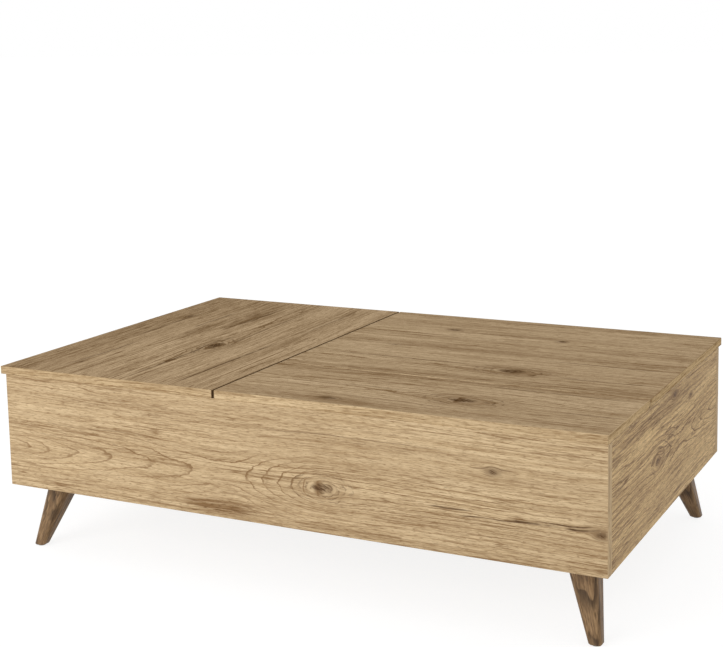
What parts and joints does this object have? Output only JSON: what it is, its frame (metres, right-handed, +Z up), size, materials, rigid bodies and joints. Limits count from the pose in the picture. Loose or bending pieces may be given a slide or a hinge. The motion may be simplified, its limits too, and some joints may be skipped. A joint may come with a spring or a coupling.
{
  "type": "lift top coffee table",
  "caption": "Low oak-decor coffee table with tapered splayed legs, lids that rise level on parallel-arm lifts over storage bays, and a hinged front flap.",
  "frame": {"origin": "on the floor, under the middle of the closed table's bounding box", "axes": "+X to the right along the long side, +Y to the back, +Z up"},
  "size_m": [1.212, 0.742, 0.362],
  "materials": {
    "oak_front": "satin oak decor, grain along X, light golden",
    "oak_side": "satin oak decor, grain along Y",
    "oak_back": "satin oak decor, grain along X",
    "oak_left_lid": "satin oak decor, grain along Y, browner",
    "oak_back_lid": "satin oak decor, grain along X, browner",
    "oak_flap": "satin oak decor, grain along X, browner",
    "oak_inside": "satin oak decor inside the box",
    "walnut_leg": "turned-down walnut-brown wood, satin lacquer",
    "black_steel": "dark grey powder coat, satin",
    "strut_black": "black enamel, semi-gloss",
    "rod_chrome": "hard-chromed, polished",
    "zinc": "bright zinc plate",
    "hinge_nickel": "black nickel plate, satin",
    "beech": "bare fluted beech",
    "glide_plastic": "matte black"
  },
  "bodies": {
    "carcass": {"front_panel": "oak_front", "back_panel": "oak_back", "left_side_panel": "oak_side", "right_side_panel": "oak_side", "long_partition": "oak_inside", "cross_partition": "oak_inside", "bottom_panel": "oak_inside", "left_lid_front_base_plate": "black_steel", "left_lid_rear_base_plate": "black_steel", "back_lid_left_base_plate": "black_steel", "back_lid_right_base_plate": "black_steel", "lift_base_rivets": "zinc", "lift_base_screws": "zinc", "flap_hinge_necks": "hinge_nickel", "flap_hinge_arms": "hinge_nickel", "flap_hinge_plates": "hinge_nickel", "hinge_plate_screws": "zinc", "front_left_leg": "walnut_leg", "front_right_leg": "walnut_leg", "back_left_leg": "walnut_leg", "back_right_leg": "walnut_leg", "leg_plates": "zinc", "leg_bolts": "zinc", "leg_plate_screws": "zinc", "foot_glides": "glide_plastic", "carcass_dowels": "beech", "cam_bolts": "zinc", "cam_locks": "zinc"},
    "left_lid_main_arms": {"left_lid_front_main_arm": "black_steel", "left_lid_rear_main_arm": "black_steel", "left_lid_strut_pins": "zinc"},
    "left_lid_follower_arms": {"left_lid_front_follower_arm": "black_steel", "left_lid_rear_follower_arm": "black_steel"},
    "left_lid_assembly": {"left_lid": "oak_left_lid", "left_lid_front_bracket": "black_steel", "left_lid_rear_bracket": "black_steel", "left_lid_pivot_rivets": "zinc", "left_lid_bracket_screws": "zinc"},
    "left_lid_strut_cylinders": {"left_lid_front_strut_cylinder": "strut_black", "left_lid_rear_strut_cylinder": "strut_black"},
    "left_lid_strut_rods": {"left_lid_front_strut_rod": "rod_chrome", "left_lid_rear_strut_rod": "rod_chrome"},
    "back_lid_main_arms": {"back_lid_left_main_arm": "black_steel", "back_lid_right_main_arm": "black_steel", "back_lid_strut_pins": "zinc"},
    "back_lid_follower_arms": {"back_lid_left_follower_arm": "black_steel", "back_lid_right_follower_arm": "black_steel"},
    "back_lid_assembly": {"back_lid": "oak_back_lid", "back_lid_left_bracket": "black_steel", "back_lid_right_bracket": "black_steel", "back_lid_pivot_rivets": "zinc", "back_lid_bracket_screws": "zinc"},
    "back_lid_strut_cylinders": {"back_lid_left_strut_cylinder": "strut_black", "back_lid_right_strut_cylinder": "strut_black"},
    "back_lid_strut_rods": {"back_lid_left_strut_rod": "rod_chrome", "back_lid_right_strut_rod": "rod_chrome"},
    "flap": {"front_flap": "oak_flap", "flap_hinge_cups": "hinge_nickel", "flap_hinge_pins": "zinc", "flap_cup_screws": "zinc"}
  },
  "joints": [
    {"name": "left_lid_lift", "type": "hinge", "parent": "carcass", "child": "left_lid_main_arms", "pos_m": [-0.504, 0, 0.246], "axis": [0, -1, 0], "range_deg": [0, 84]},
    {"name": "left_lid_follower_arm_pivot", "type": "hinge", "parent": "carcass", "child": "left_lid_follower_arms", "pos_m": [-0.429, 0, 0.231], "axis": [0, -1, 0], "range_deg": [0, 84]},
    {"name": "left_lid_arm_to_lid_pivot", "type": "hinge", "parent": "left_lid_main_arms", "child": "left_lid_assembly", "pos_m": [-0.2252, 0, 0.32594], "axis": [0, -1, 0], "range_deg": [-84, 0]},
    {"name": "left_lid_strut_foot", "type": "hinge", "parent": "carcass", "child": "left_lid_strut_cylinders", "pos_m": [-0.46674, 0, 0.1696], "axis": [0, -1, 0], "range_deg": [0, 42]},
    {"name": "left_lid_strut_head", "type": "hinge", "parent": "left_lid_main_arms", "child": "left_lid_strut_rods", "pos_m": [-0.42229, 0, 0.26943], "axis": [0, -1, 0], "range_deg": [-42, 0]},
    {"name": "back_lid_lift", "type": "hinge", "parent": "carcass", "child": "back_lid_main_arms", "pos_m": [0.2, 0.259, 0.246], "axis": [-1, 0, 0], "range_deg": [0, 84]},
    {"name": "back_lid_follower_arm_pivot", "type": "hinge", "parent": "carcass", "child": "back_lid_follower_arms", "pos_m": [0.2, 0.184, 0.231], "axis": [-1, 0, 0], "range_deg": [0, 84]},
    {"name": "back_lid_arm_to_lid_pivot", "type": "hinge", "parent": "back_lid_main_arms", "child": "back_lid_assembly", "pos_m": [0.2, -0.0198, 0.32594], "axis": [-1, 0, 0], "range_deg": [-84, 0]},
    {"name": "back_lid_strut_foot", "type": "hinge", "parent": "carcass", "child": "back_lid_strut_cylinders", "pos_m": [0.2, 0.22174, 0.1696], "axis": [-1, 0, 0], "range_deg": [0, 42]},
    {"name": "back_lid_strut_head", "type": "hinge", "parent": "back_lid_main_arms", "child": "back_lid_strut_rods", "pos_m": [0.2, 0.17729, 0.26943], "axis": [-1, 0, 0], "range_deg": [-42, 0]},
    {"name": "flap_hinge", "type": "hinge", "parent": "carcass", "child": "flap", "pos_m": [0.24, -0.15325, 0.357], "axis": [-1, 0, 0], "range_deg": [0, 95]}
  ],
  "couplings": [
    {"joint": "left_lid_follower_arm_pivot", "follows": "left_lid_lift", "ratio": 1},
    {"joint": "left_lid_arm_to_lid_pivot", "follows": "left_lid_lift", "ratio": -1},
    {"joint": "left_lid_strut_foot", "follows": "left_lid_lift", "ratio": 0.5},
    {"joint": "left_lid_strut_head", "follows": "left_lid_lift", "ratio": -0.5},
    {"joint": "back_lid_follower_arm_pivot", "follows": "back_lid_lift", "ratio": 1},
    {"joint": "back_lid_arm_to_lid_pivot", "follows": "back_lid_lift", "ratio": -1},
    {"joint": "back_lid_strut_foot", "follows": "back_lid_lift", "ratio": 0.5},
    {"joint": "back_lid_strut_head", "follows": "back_lid_lift", "ratio": -0.5}
  ]
}
